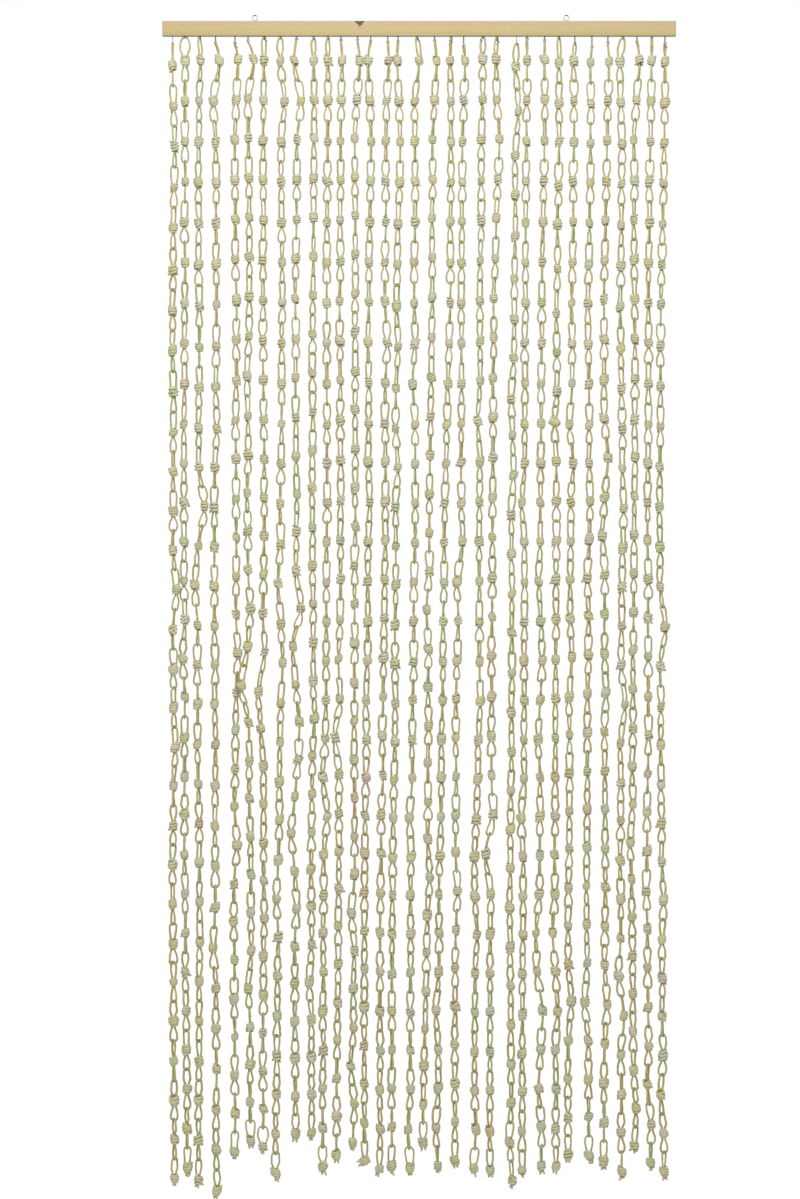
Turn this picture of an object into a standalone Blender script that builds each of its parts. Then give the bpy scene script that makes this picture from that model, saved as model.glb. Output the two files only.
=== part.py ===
"""Door curtain of knotted paper cord: 33 chains of tied links under a pine batten with two screw eyes.

Metres, +Z up, +X to the right along the batten, front towards -Y.
The origin lies midway between the centres of the two screw eyes, which hold the curtain up.
"""

import math
import random
from collections import namedtuple

import bmesh
import bpy
from mathutils import Vector

MM = 0.001
GAP = 0.3 * MM

# Batten, a planed pine strip. Its middle lies to the right of the point midway between the eyes.
BATTEN_LENGTH = 900 * MM
BATTEN_HEIGHT = 26 * MM
BATTEN_DEPTH = 12 * MM
BATTEN_EASED_EDGE = 0.8 * MM
BATTEN_MIDDLE = 15 * MM

# Screw eyes, bent from steel wire
EYE_SPACING = 546 * MM
EYE_RADIUS = 4.5 * MM
EYE_WIRE = 1.8 * MM
EYE_ABOVE_BATTEN = 6.2 * MM
EYE_STEPS = 11
EYE_MOUTH = 25

BATTEN_TOP = -EYE_ABOVE_BATTEN
BATTEN_UNDERSIDE = BATTEN_TOP - BATTEN_HEIGHT
BATTEN_LEFT_END = BATTEN_MIDDLE - BATTEN_LENGTH / 2

# Links of twisted paper cord, each tied in its middle with a barrel knot
LINKS = 29
KNOT_HEIGHT = 18.5 * MM
KNOT_WIDTH = 15 * MM
KNOT_DEPTH = 13.2 * MM
LOOP_WIDTH = 12 * MM
LOOP_THICKNESS = 4 * MM
LOOP_WIDEST = 0.4
LINK_TURN = 90
LINK_TURN_SPREAD = 16
KNOT_TWIST_SPREAD = 22
CUT_END_LENGTH = 6 * MM
CUT_END_WIDTH = 7 * MM
CUT_END_THICKNESS = 3.5 * MM
HOOK_WIRE = 2.4 * MM
HOOK_BEND_WIDTH = 5.5 * MM

# How unevenly the chains hang: the spread of each knot up or down, sideways and in depth
PITCH_SPREAD = 1.2 * MM
SIDE_SPREAD = 0.8 * MM
DEPTH_SPREAD = 1.5 * MM

# One row for each chain, from left to right. Lengths in millimetres, turns in degrees:
# place is along the batten from its left end, hook is how far the wire reaches below the batten,
# drops are knots below the batten's underside, sways are how far knots stand to the right of the hook,
# and turns are how far the first and the last loop are turned from the batten's face.
Chain = namedtuple(
    "Chain",
    "place hook drop_1 drop_10 drop_17 drop_29 "
    "sway_1 sway_3 sway_7 sway_12 sway_17 sway_22 sway_29 turn_1 turn_29",
)
CHAINS = [
    Chain(18, 14, 51, 694, 1177, 2002, 0, 3, 0, 1, 1, 0, 4, 85, 30),
    Chain(39, 3, 42, 680, 1159, 1983, 0, 0, 0, -2, 0, 0, 5, 0, 0),
    Chain(65, 3, 42, 687, 1170, 2004, 2, -2, -1, -2, -4, 0, -2, 65, 20),
    Chain(93, 12, 42, 686, 1171, 2023, 7, 0, 2, -2, -1, 0, 2, 80, 35),
    Chain(127, 13, 40, 673, 1150, 1955, 5, -1, 2, 2, 2, -2, 0, 80, 0),
    Chain(150, 9, 39, 665, 1136, 1936, 9, 1, 2, -1, 0, 5, 4, 85, 0),
    Chain(178, 3, 42, 673, 1147, 1946, 0, -1, -2, 0, -2, 0, -2, 55, 0),
    Chain(207, 4, 42, 680, 1168, 1992, 0, 1, 3, 0, 0, -4, -9, 20, 10),
    Chain(235, 6, 42, 668, 1136, 1923, -4, 2, -2, 0, -2, -3, -2, 85, 15),
    Chain(265, 5, 42, 658, 1129, 1922, 0, 1, -2, -2, -1, -4, -4, 50, 35),
    Chain(290, 4, 42, 680, 1163, 1981, 0, 0, -2, -1, -4, -8, -9, 55, 0),
    Chain(313, 8, 42, 673, 1161, 1960, 2, -1, -2, 0, -2, -4, -9, 85, 85),
    Chain(342, 7, 42, 654, 1133, 1939, 4, -5, -4, -4, -6, -5, -9, 85, 85),
    Chain(365, 9, 42, 677, 1164, 1971, -4, 1, -4, -4, -6, -11, -11, 80, 30),
    Chain(395, 11, 42, 677, 1157, 1985, 1, -3, -5, -4, -9, -13, -14, 75, 30),
    Chain(413, 10, 42, 687, 1168, 1980, -1, 4, -3, -4, -5, -10, -11, 75, 10),
    Chain(446, 4, 42, 680, 1164, 1983, 4, -4, -4, -3, -7, -11, -12, 55, 0),
    Chain(477, 8, 42, 666, 1141, 1939, 4, -4, -4, -9, -11, -12, -21, 65, 5),
    Chain(506, 4, 42, 680, 1164, 1980, -2, 0, -2, -11, -15, -21, -23, 55, 75),
    Chain(528, 17, 42, 679, 1161, 1971, 2, -2, -4, -4, -13, -14, -16, 85, 20),
    Chain(562, 3, 39, 675, 1166, 1985, 0, -2, -5, -6, -7, -14, -16, 20, 0),
    Chain(586, 4, 40, 668, 1157, 1987, -2, 4, -5, -7, -9, -11, -12, 60, 15),
    Chain(621, 14, 53, 700, 1185, 2006, -2, -2, -4, -9, -9, -12, -8, 30, 60),
    Chain(639, 5, 42, 679, 1164, 1988, 0, -1, -3, -5, -5, -7, -9, 80, 25),
    Chain(670, 8, 40, 679, 1163, 1980, 0, 0, -5, -7, -7, -9, -5, 75, 75),
    Chain(695, 4, 46, 675, 1161, 1981, 0, 0, -4, -4, -6, -7, -5, 50, 40),
    Chain(723, 13, 42, 680, 1157, 1960, -2, -2, -5, -7, -9, -11, -12, 60, 10),
    Chain(753, 19, 46, 680, 1152, 1962, -2, -2, -7, -4, -7, -10, -5, 90, 5),
    Chain(781, 12, 44, 670, 1150, 1971, 2, -1, -7, -6, -6, -5, -7, 75, 5),
    Chain(807, 4, 44, 689, 1171, 1990, -5, -2, -4, 1, -4, -4, -2, 15, 85),
    Chain(832, 10, 42, 670, 1145, 1945, 5, -6, -4, -4, -7, -9, -5, 80, 35),
    Chain(858, 5, 42, 679, 1156, 1974, 0, -3, -6, -7, -6, -9, -3, 80, 65),
    Chain(881, 14, 44, 684, 1175, 1990, 0, -1, -7, -9, -7, -6, -2, 80, 55),
]
DROP_KNOTS = (1, 10, 17, 29)
SWAY_KNOTS = (1, 3, 7, 12, 17, 22, 29)
TURN_KNOTS = (1, 8, 15, 22, 29)

# Knots that are caught or kinked, by chain: how far each stands to the right of its neighbours,
# in millimetres
KINKS = {
    1: {14: 6, 18: 3},
    2: {16: -3},
    3: {12: 11, 14: -5},
    4: {2: -7, 10: 3, 23: -4},
    5: {16: 3, 21: 4},
    6: {2: -5, 9: -3, 15: 5, 17: -12, 25: -4},
    7: {16: 3, 17: -7, 18: -4},
    8: {2: 7, 14: -4, 16: 3, 22: -3},
    9: {2: 9, 15: 8, 16: -5, 18: 7, 19: 5, 21: -6, 23: 3},
    10: {18: 3, 25: -3},
    11: {19: -3, 20: 6},
    12: {16: -3, 18: -9},
    13: {23: -5, 27: -4, 28: 3},
    14: {12: 3, 17: -2},
    15: {8: 3, 19: 3},
    16: {8: 3, 11: 3},
    17: {2: -4, 9: -3, 20: -3, 28: -4},
    18: {15: -3, 22: 3},
    19: {25: -4, 28: -4},
    20: {13: 4, 14: -3, 22: 4},
    21: {10: -4, 17: 3, 21: -3, 23: 3, 28: 3},
    22: {20: 4, 21: -8},
    23: {2: 5, 9: -4, 11: 3, 28: -4},
    24: {12: -4, 20: -4},
    25: {14: -3, 16: 3, 18: -4, 23: -7, 24: -5, 25: 3, 27: -5},
    26: {10: -4, 23: -4, 25: 3},
    27: {10: -3, 11: 3, 16: 3, 25: 5},
    28: {14: -3, 25: -5},
    29: {11: 6, 13: -3, 17: 3, 25: 4},
    30: {17: 7, 24: -4, 25: 5},
    31: {21: -3, 28: 4},
    32: {27: -4, 28: 2},
    33: {15: 8, 22: 3, 27: -5},
}

# Knots that long links or a tangle let hang lower than even spacing would have them, by chain and knot,
# in millimetres
SAGS = {
    23: {2: 6, 3: 11, 4: 10, 5: 10, 6: 12, 7: 11, 8: 7, 9: 6},
    26: {4: 5, 5: 5, 6: 12, 7: 19, 8: 18, 9: 18},
}

# Where a chain would cut through the next one it hangs in front of it, by chain and knot,
# in millimetres towards the viewer
FORWARD = {
    1: {13: 4, 14: 8, 15: 4},
    6: {16: 5, 17: 14, 18: 5},
}

# A section of a chain: its middle, its width along its own plane, its thickness and that plane's turn
Section = namedtuple("Section", "middle width thickness turn")

# A tied link: where its knot lies, and the planes of its upper and lower loops
Link = namedtuple("Link", "knot upper_turn lower_turn")


def between(knot, knots, values):
    """The value at a knot, read straight between the values given for the listed knots."""
    for low, high, start, end in zip(knots, knots[1:], values, values[1:]):
        if knot <= high:
            return start + (end - start) * (knot - low) / (high - low)
    return values[-1]


def links_of(number):
    """The links of one chain from top to bottom, each about a quarter turn from the one above.

    Between its first and last loops a chain's planes wander at random.
    """
    chain = CHAINS[number - 1]
    hook = BATTEN_LEFT_END + chain.place * MM
    drops = (chain.drop_1, chain.drop_10, chain.drop_17, chain.drop_29)
    sways = (
        chain.sway_1,
        chain.sway_3,
        chain.sway_7,
        chain.sway_12,
        chain.sway_17,
        chain.sway_22,
        chain.sway_29,
    )
    wander = random.Random(LINKS * number)
    turns = [wander.uniform(0, LINK_TURN) for _knot in TURN_KNOTS]
    turns[0] = chain.turn_1
    turns[-1] = chain.turn_29
    chance = random.Random(number)
    links = []
    for knot in range(1, LINKS + 1):
        inner = 1 < knot < LINKS
        aside = between(knot, SWAY_KNOTS, sways) + KINKS[number].get(knot, 0)
        drop = between(knot, DROP_KNOTS, drops) + SAGS.get(number, {}).get(knot, 0)
        forward = FORWARD.get(number, {}).get(knot, 0)
        spot = Vector(
            (
                hook + aside * MM + chance.uniform(-SIDE_SPREAD, SIDE_SPREAD),
                -forward * MM + chance.uniform(-DEPTH_SPREAD, DEPTH_SPREAD),
                BATTEN_UNDERSIDE - drop * MM + inner * chance.uniform(-PITCH_SPREAD, PITCH_SPREAD),
            )
        )
        upper_turn = between(knot, TURN_KNOTS, turns) + LINK_TURN * (knot - 1)
        upper_turn += inner * chance.uniform(-LINK_TURN_SPREAD, LINK_TURN_SPREAD)
        lower_turn = upper_turn + chance.uniform(-KNOT_TWIST_SPREAD, KNOT_TWIST_SPREAD)
        links.append(Link(spot, upper_turn, lower_turn))
    return links


def sections_of(number):
    """The chain's sections from its cut ends up to the batten: three for each link, and the hook."""
    chain = CHAINS[number - 1]
    links = links_of(number)
    hook = Vector((BATTEN_LEFT_END + chain.place * MM, 0, BATTEN_UNDERSIDE - GAP))
    hook_bend = hook - Vector((0, 0, chain.hook * MM))
    end = links[-1].knot - Vector((0, 0, KNOT_HEIGHT / 2 + CUT_END_LENGTH))
    joins = [hook_bend]
    joins += [(above.knot + below.knot) / 2 for above, below in zip(links, links[1:])]
    sections = [
        Section(hook, HOOK_WIRE, HOOK_WIRE, 0),
        Section(hook_bend, HOOK_BEND_WIDTH, HOOK_WIRE, chain.turn_1),
    ]
    for link, above, below in zip(links, joins, joins[1:] + [end]):
        sections.append(loop_section(link.knot, above, link.upper_turn))
        sections.append(Section(link.knot, KNOT_WIDTH, KNOT_DEPTH, link.upper_turn + 180))
        if link is not links[-1]:
            sections.append(loop_section(link.knot, below, link.lower_turn))
    sections.append(Section(end, CUT_END_WIDTH, CUT_END_THICKNESS, links[-1].lower_turn))
    return sections[::-1]


def loop_section(knot, join, turn):
    """The widest section of the loop that runs from a knot to where it meets the next link."""
    reach = join - knot
    past_knot = KNOT_HEIGHT / 2 / abs(reach.z)
    middle = knot + reach * (past_knot + (1 - past_knot) * LOOP_WIDEST)
    return Section(middle, LOOP_WIDTH, LOOP_THICKNESS, turn)


def corners(section):
    """A section's three corners, anticlockwise from above: two on its back and one on its front."""
    along = Vector((math.cos(math.radians(section.turn)), math.sin(math.radians(section.turn)), 0))
    across = Vector((-along.y, along.x, 0))
    return [
        section.middle - along * section.width / 2 - across * section.thickness / 3,
        section.middle + along * section.width / 2 - across * section.thickness / 3,
        section.middle + across * section.thickness * 2 / 3,
    ]


def facing(start, end):
    """The direction that an anticlockwise section's side faces, as an angle."""
    side = end.co - start.co
    return math.atan2(-side.x, side.y)


def join_sections(mesh, lower, upper):
    """Closes the convex sides between two level sections, whatever their turns.

    The sides of both are taken in the order in which they face round the chain, and each gets a
    triangle to the corner that the other section has reached.
    """
    rings = (lower, upper)
    sides = []
    for which, ring in enumerate(rings):
        for corner, start in enumerate(ring):
            sides.append((facing(start, ring[(corner + 1) % len(ring)]), which, corner))
    sides.sort()
    reached = {which: corner for _angle, which, corner in reversed(sides)}
    for _angle, which, corner in sides:
        ring = rings[which]
        following = (corner + 1) % len(ring)
        start, end = ring[corner], ring[following]
        tip = rings[1 - which][reached[1 - which]]
        mesh.faces.new((end, start, tip) if which else (start, end, tip))
        reached[which] = following


def material(name, colour, roughness, metallic=0.0):
    """A plain surface of one sRGB colour."""
    surface = bpy.data.materials.new(name)
    surface.use_nodes = True
    shader = surface.node_tree.nodes["Principled BSDF"]
    parts = [int(colour[start : start + 2], 16) / 255 for start in (0, 2, 4)]
    linear = [((part + 0.055) / 1.055) ** 2.4 for part in parts]
    shader.inputs["Base Color"].default_value = (*linear, 1)
    shader.inputs["Roughness"].default_value = roughness
    shader.inputs["Metallic"].default_value = metallic
    surface.diffuse_color = (*linear, 1)
    return surface


def add_object(name, data, surface):
    """A new object of this mesh or curve, in its own material."""
    data.materials.append(surface)
    added = bpy.data.objects.new(name, data)
    bpy.context.scene.collection.objects.link(added)
    return added


def make_batten(surface):
    """The planed strip, its edges slightly eased."""
    shape = bmesh.new()
    bmesh.ops.create_cube(shape, size=1)
    bmesh.ops.scale(shape, vec=(BATTEN_LENGTH, BATTEN_DEPTH, BATTEN_HEIGHT), verts=shape.verts)
    bmesh.ops.bevel(
        shape, geom=shape.edges[:], offset=BATTEN_EASED_EDGE, segments=1, affect="EDGES"
    )
    data = bpy.data.meshes.new("batten")
    shape.to_mesh(data)
    shape.free()
    batten = add_object("batten", data, surface)
    batten.location = (BATTEN_MIDDLE, 0, BATTEN_TOP - BATTEN_HEIGHT / 2)


def make_screw_eye(name, across, surface):
    """Wire that rises from the batten and bends round into an almost closed eye."""
    curve = bpy.data.curves.new(name, "CURVE")
    curve.dimensions = "3D"
    curve.bevel_depth = EYE_WIRE / 2
    curve.bevel_resolution = 0
    curve.use_fill_caps = True
    start = math.radians(-90)
    sweep = math.radians(360 - EYE_MOUTH)
    turns = [start + sweep * step / EYE_STEPS for step in range(EYE_STEPS + 1)]
    route = [(0, 0, GAP - EYE_ABOVE_BATTEN)]
    route += [(EYE_RADIUS * math.cos(turn), 0, EYE_RADIUS * math.sin(turn)) for turn in turns]
    spline = curve.splines.new("POLY")
    spline.points.add(len(route) - 1)
    for point, place in zip(spline.points, route):
        point.co = (*place, 1)
    eye = add_object(name, curve, surface)
    eye.location = (across, 0, 0)


def make_chain(number, surface):
    """One chain as a closed three-sided solid that follows its hook, loops and knots."""
    shape = bmesh.new()
    rings = [
        [shape.verts.new(corner) for corner in corners(section)] for section in sections_of(number)
    ]
    for lower, upper in zip(rings, rings[1:]):
        join_sections(shape, lower, upper)
    shape.faces.new(rings[0][::-1])
    shape.faces.new(rings[-1])
    name = f"strand_{number:02d}"
    data = bpy.data.meshes.new(name)
    shape.to_mesh(data)
    shape.free()
    add_object(name, data, surface)


def main():
    for old in list(bpy.data.objects):
        bpy.data.objects.remove(old, do_unlink=True)
    make_batten(material("planed pine", "D6BE8C", 0.6))
    wire = material("zinc plated wire", "A9A9A6", 0.35, 1.0)
    make_screw_eye("screw_eye_left", -EYE_SPACING / 2, wire)
    make_screw_eye("screw_eye_right", EYE_SPACING / 2, wire)
    cord = material("twisted paper cord", "AFAA8C", 0.85)
    for number in range(1, len(CHAINS) + 1):
        make_chain(number, cord)


main()
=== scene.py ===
"""Looks of a door curtain: chains of tied paper cord links that hang from a pine batten.

Metres, +Z up, +X to the right along the batten, front towards -Y. The origin lies midway between
the centres of the two screw eyes.
"""

import math
import random
from collections import namedtuple

import bpy
import numpy as np
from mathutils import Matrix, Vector


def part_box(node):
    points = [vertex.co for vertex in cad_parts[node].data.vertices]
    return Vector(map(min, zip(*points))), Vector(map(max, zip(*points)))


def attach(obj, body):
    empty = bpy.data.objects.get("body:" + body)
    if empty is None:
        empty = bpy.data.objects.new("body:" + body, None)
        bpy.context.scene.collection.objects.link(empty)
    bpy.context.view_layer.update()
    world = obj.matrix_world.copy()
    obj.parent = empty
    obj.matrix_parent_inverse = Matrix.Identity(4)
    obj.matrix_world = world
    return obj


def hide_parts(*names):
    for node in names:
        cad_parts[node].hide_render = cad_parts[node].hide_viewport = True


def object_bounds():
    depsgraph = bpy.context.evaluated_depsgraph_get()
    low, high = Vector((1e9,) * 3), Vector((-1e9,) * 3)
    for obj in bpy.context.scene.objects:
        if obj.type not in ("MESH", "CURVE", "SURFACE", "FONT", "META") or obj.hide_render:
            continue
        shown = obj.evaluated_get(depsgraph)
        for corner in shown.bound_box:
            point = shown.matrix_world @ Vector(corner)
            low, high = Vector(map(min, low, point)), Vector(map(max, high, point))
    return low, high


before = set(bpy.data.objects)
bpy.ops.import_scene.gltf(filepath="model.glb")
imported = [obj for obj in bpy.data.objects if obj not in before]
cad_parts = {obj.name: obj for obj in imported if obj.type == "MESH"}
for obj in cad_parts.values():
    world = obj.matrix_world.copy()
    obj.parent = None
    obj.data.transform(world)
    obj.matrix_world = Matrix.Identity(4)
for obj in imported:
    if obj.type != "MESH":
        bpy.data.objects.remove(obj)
cad_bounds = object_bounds()

# The batten
# A strip of pine, planed on its four sides and sawn off square, its edges eased with sandpaper.
# It is bare wood. Fine pilot holes in its underside take the wire hooks of the chains.

MM = 0.001
BATTEN_LOW, BATTEN_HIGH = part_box("batten")
BATTEN_EASED_EDGE = 0.8 * MM
BATTEN_EDGE_STEPS = 3
SMOOTH_UP_TO = 40


def select_only(*things):
    """Leaves nothing selected but these objects, the first of them active."""
    bpy.ops.object.select_all(action="DESELECT")
    for thing in things:
        thing.select_set(True)
    bpy.context.view_layer.objects.active = things[0]


def colour(code):
    """An sRGB hex colour as linear red, green, blue and alpha."""
    parts = [int(code[start : start + 2], 16) / 255 for start in (0, 2, 4)]
    return [part / 12.92 if part < 0.04 else ((part + 0.055) / 1.055) ** 2.4 for part in parts] + [1]


def add_node(tree, kind, inputs, stops=(), **settings):
    """Adds a node. An input is a value or the output linked to it. A ramp's stops start with its ends."""
    added = tree.nodes.new("ShaderNode" + kind)
    for name, value in settings.items():
        setattr(added, name, value)
    for name, value in inputs.items():
        if isinstance(value, bpy.types.NodeSocket):
            tree.links.new(value, added.inputs[name])
        else:
            added.inputs[name].default_value = value
    for number, (place, code) in enumerate(stops):
        if number < 2:
            stop = added.color_ramp.elements[number]
            stop.position = place
        else:
            stop = added.color_ramp.elements.new(place)
        stop.color = colour(code)
    return added


def new_material(name):
    """A new material, its node tree and the shader in that."""
    material = bpy.data.materials.new(name)
    material.use_nodes = True
    return material, material.node_tree, material.node_tree.nodes["Principled BSDF"]


bpy.ops.object.select_all(action="DESELECT")
bpy.ops.mesh.primitive_cube_add(size=1, location=(BATTEN_LOW + BATTEN_HIGH) / 2)
batten = bpy.context.object
batten.name = "pine_batten"
batten.scale = BATTEN_HIGH - BATTEN_LOW
bpy.ops.object.transform_apply(location=True, rotation=True, scale=True)
eased = batten.modifiers.new("eased edges", "BEVEL")
eased.width = BATTEN_EASED_EDGE
eased.segments = BATTEN_EDGE_STEPS
bpy.ops.object.modifier_apply(modifier=eased.name)

# Planed pine: straight growth rings show as faint streaks along the strip and as arcs on its sawn ends,
# between yellowish and pinkish bands. Painted shade greys the top and bottom edges and the ends a little.
# One small dark branch knot lies on the top edge, and the grain bends round it.
# A pattern's size is the length, depth and height of one patch of it, in places as fractions of a metre.
# At scale 1 the wave texture's rings lie a twentieth of tau apart.
RING_SPACING = 2.6 * MM
RING_CENTRE = Vector((0, 14 * MM, -55 * MM))
UNSCALED_RING_SPACING = math.tau / 20
GRAIN_SWAY = (0, 7 * MM, 7 * MM)
GRAIN_SWAY_SIZE = (1 / 3.5, 1 / 60, 1 / 60)
GRAIN_BEND_WIDTH = 16 * MM
GRAIN_BEND_HEIGHT = 5 * MM
BAND_SIZE = (1 / 5, 1 / 110, 1 / 110)
BANDS_BY_HEIGHT = 0.8
BANDS_BY_CHANCE = 0.7
LOWEST_BAND = -0.25
PORE_SIZE = (8.75 * MM, 0.35 * MM, 0.35 * MM)
# How far in from the edges and ends the painted shade reaches, and how much of the grey it takes at most
EDGE_SHADE_WIDTH = 3 * MM
EDGE_SHADE_MOST = 0.7
BRANCH_KNOT = Vector((-89 * MM, BATTEN_LOW.y, BATTEN_HIGH.z))
BRANCH_KNOT_SIZE = (14 * MM, 13 * MM, 15 * MM)
BRANCH_KNOT_NOTCH = 1 / 350
BRANCH_KNOT_RAGGEDNESS = 0.5


def scale_for(size):
    """The scale that makes a pattern's patches, or a spot, this long, deep and high."""
    return tuple(1 / side for side in size)


pine, tree, shader = new_material("planed pine")
place = add_node(tree, "TexCoord", {}).outputs["Object"]
from_knot = add_node(tree, "VectorMath", {0: place, 1: BRANCH_KNOT}, operation="SUBTRACT")
beside = add_node(tree, "SeparateXYZ", {0: from_knot.outputs[0]})
aside = add_node(tree, "Math", {0: beside.outputs["X"], 1: 1 / GRAIN_BEND_WIDTH}, operation="MULTIPLY")
aside_squared = add_node(tree, "Math", {0: aside.outputs[0], 1: 2.0}, operation="POWER")
farness = add_node(tree, "Math", {0: aside_squared.outputs[0], 1: -1.0}, operation="MULTIPLY")
nearness = add_node(tree, "Math", {0: farness.outputs[0]}, operation="EXPONENT")
bend_height = add_node(
    tree, "Math", {0: nearness.outputs[0], 1: GRAIN_BEND_HEIGHT}, operation="MULTIPLY"
)
bend = add_node(tree, "CombineXYZ", {"Z": bend_height.outputs[0]})
bent = add_node(tree, "VectorMath", {0: place, 1: bend.outputs[0]}, operation="ADD")
sway_place = add_node(tree, "Mapping", {"Vector": place, "Scale": scale_for(GRAIN_SWAY_SIZE)})
sway = add_node(
    tree, "TexNoise", {"Vector": sway_place.outputs[0], "Scale": 1.0, "Detail": 2.0}
)
swayed = add_node(
    tree,
    "VectorMath",
    {0: sway.outputs["Color"], 1: GRAIN_SWAY, 2: bent.outputs[0]},
    operation="MULTIPLY_ADD",
)
ring_place = add_node(tree, "Mapping", {"Vector": swayed.outputs[0], "Location": -RING_CENTRE})
rings = add_node(
    tree,
    "TexWave",
    {
        "Vector": ring_place.outputs[0],
        "Scale": UNSCALED_RING_SPACING / RING_SPACING,
        "Distortion": 0.6,
        "Detail": 2.0,
    },
    wave_type="RINGS",
    rings_direction="X",
    wave_profile="SAW",
)
wood = add_node(
    tree,
    "ValToRGB",
    {"Fac": rings.outputs["Fac"]},
    stops=((0.0, "D3BC8B"), (1.0, "B49661"), (0.7, "CAB07B")),
)
bands_place = add_node(tree, "Mapping", {"Vector": bent.outputs[0], "Scale": scale_for(BAND_SIZE)})
bands = add_node(
    tree,
    "TexNoise",
    {"Vector": bands_place.outputs[0], "Scale": 1.0, "Detail": 3.0, "Roughness": 0.6},
)
across_batten = add_node(tree, "SeparateXYZ", {0: bent.outputs[0]})
height_share = add_node(
    tree,
    "MapRange",
    {"Value": across_batten.outputs["Z"], "From Min": BATTEN_LOW.z, "From Max": BATTEN_HIGH.z},
)
bands_part = add_node(
    tree,
    "Math",
    {0: bands.outputs["Fac"], 1: BANDS_BY_CHANCE, 2: LOWEST_BAND},
    operation="MULTIPLY_ADD",
)
band_place = add_node(
    tree,
    "Math",
    {0: height_share.outputs[0], 1: BANDS_BY_HEIGHT, 2: bands_part.outputs[0]},
    operation="MULTIPLY_ADD",
)
band_tint = add_node(
    tree,
    "ValToRGB",
    {"Fac": band_place.outputs[0]},
    stops=(
        (0.02, "CCC48E"),
        (1.0, "BFBC8F"),
        (0.14, "BAAF70"),
        (0.34, "CDBA7E"),
        (0.52, "CFB98C"),
        (0.72, "C9AD85"),
        (0.86, "C8BB8B"),
    ),
)
tinted = add_node(
    tree,
    "MixRGB",
    {"Fac": 0.6, "Color1": wood.outputs["Color"], "Color2": band_tint.outputs["Color"]},
)
pore_place = add_node(tree, "Mapping", {"Vector": place, "Scale": scale_for(PORE_SIZE)})
pores = add_node(
    tree, "TexNoise", {"Vector": pore_place.outputs[0], "Scale": 1.0, "Detail": 2.0}
)
pore_shade = add_node(
    tree,
    "MapRange",
    {"Value": pores.outputs["Fac"], "From Min": 0.35, "From Max": 0.65, "To Min": 0.79, "To Max": 0.965},
)
grained = add_node(
    tree,
    "MixRGB",
    {"Fac": 1.0, "Color1": tinted.outputs["Color"], "Color2": pore_shade.outputs[0]},
    blend_type="MULTIPLY",
)

# Painted shade: the wood is greyed towards its top and bottom edges and its ends.
batten_middle = (BATTEN_LOW + BATTEN_HIGH) / 2
unshaded_reach = (BATTEN_HIGH - BATTEN_LOW) / 2 - Vector([EDGE_SHADE_WIDTH] * 3)
from_middle = add_node(tree, "VectorMath", {0: place, 1: batten_middle}, operation="SUBTRACT")
out_from_middle = add_node(tree, "VectorMath", {0: from_middle.outputs[0]}, operation="ABSOLUTE")
to_edge = add_node(
    tree, "VectorMath", {0: out_from_middle.outputs[0], 1: unshaded_reach}, operation="SUBTRACT"
)
edges = add_node(tree, "SeparateXYZ", {0: to_edge.outputs[0]})
end_share = add_node(tree, "Math", {0: edges.outputs["X"], 1: 1 / EDGE_SHADE_WIDTH}, operation="MULTIPLY")
long_share = add_node(tree, "Math", {0: edges.outputs["Z"], 1: 1 / EDGE_SHADE_WIDTH}, operation="MULTIPLY")
edge_share = add_node(
    tree, "Math", {0: end_share.outputs[0], 1: long_share.outputs[0]}, operation="MAXIMUM"
)
painted_edge_shade = add_node(
    tree,
    "Math",
    {0: edge_share.outputs[0], 1: EDGE_SHADE_MOST},
    operation="MULTIPLY",
    use_clamp=True,
)
edge_shaded_wood = add_node(
    tree,
    "MixRGB",
    {"Fac": painted_edge_shade.outputs[0], "Color1": grained.outputs["Color"], "Color2": colour("ABA687")},
)

knot_place = add_node(tree, "VectorMath", {0: from_knot.outputs[0]}, operation="ABSOLUTE")
knot_size = add_node(
    tree,
    "VectorMath",
    {0: knot_place.outputs[0], 1: scale_for(BRANCH_KNOT_SIZE)},
    operation="MULTIPLY",
)
knot_parts = add_node(tree, "SeparateXYZ", {0: knot_size.outputs[0]})
knot_edge = add_node(
    tree, "TexNoise", {"Vector": place, "Scale": 1 / BRANCH_KNOT_NOTCH, "Detail": 2.0}
)
knot_across = add_node(
    tree, "Math", {0: knot_parts.outputs["X"], 1: knot_parts.outputs["Y"]}, operation="ADD"
)
knot_reach = add_node(
    tree, "Math", {0: knot_across.outputs[0], 1: knot_parts.outputs["Z"]}, operation="ADD"
)
ragged_reach = add_node(
    tree,
    "Math",
    {0: knot_edge.outputs["Fac"], 1: BRANCH_KNOT_RAGGEDNESS, 2: knot_reach.outputs[0]},
    operation="MULTIPLY_ADD",
)
knot_share = add_node(
    tree,
    "ValToRGB",
    {"Fac": ragged_reach.outputs[0]},
    stops=((0.35, "D8D8D8"), (1.0, "000000"), (0.5, "FFFFFF"), (0.84, "F8F8F8"), (0.98, "787878")),
)
shown_wood = add_node(
    tree,
    "MixRGB",
    {
        "Fac": knot_share.outputs["Color"],
        "Color1": edge_shaded_wood.outputs["Color"],
        "Color2": colour("523A0A"),
    },
)
tree.links.new(shown_wood.outputs["Color"], shader.inputs["Base Color"])
shader.inputs["Roughness"].default_value = 0.62
shader.inputs["IOR"].default_value = 1.5
wood_bump = add_node(
    tree, "Bump", {"Strength": 0.5, "Distance": 0.12 * MM, "Height": pores.outputs["Fac"]}
)
tree.links.new(wood_bump.outputs["Normal"], shader.inputs["Normal"])
batten.data.materials.append(pine)

# The screw eyes
# Two eyes bent from zinc plated steel wire stand in the top edge of the batten, their threads in the wood.
# Each is an almost closed ring that the curtain hangs by.

EYE_RADIUS = 4.5 * MM
EYE_WIRE = 1.8 * MM
EYE_MOUTH = 25
EYE_STEPS = 30
EYE_SIDES_STEP = 4
EYE_SMOOTHNESS = 2
EYE_IN_WOOD = 1.5 * MM
MERGED_WITHIN = 0.002 * MM


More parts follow.
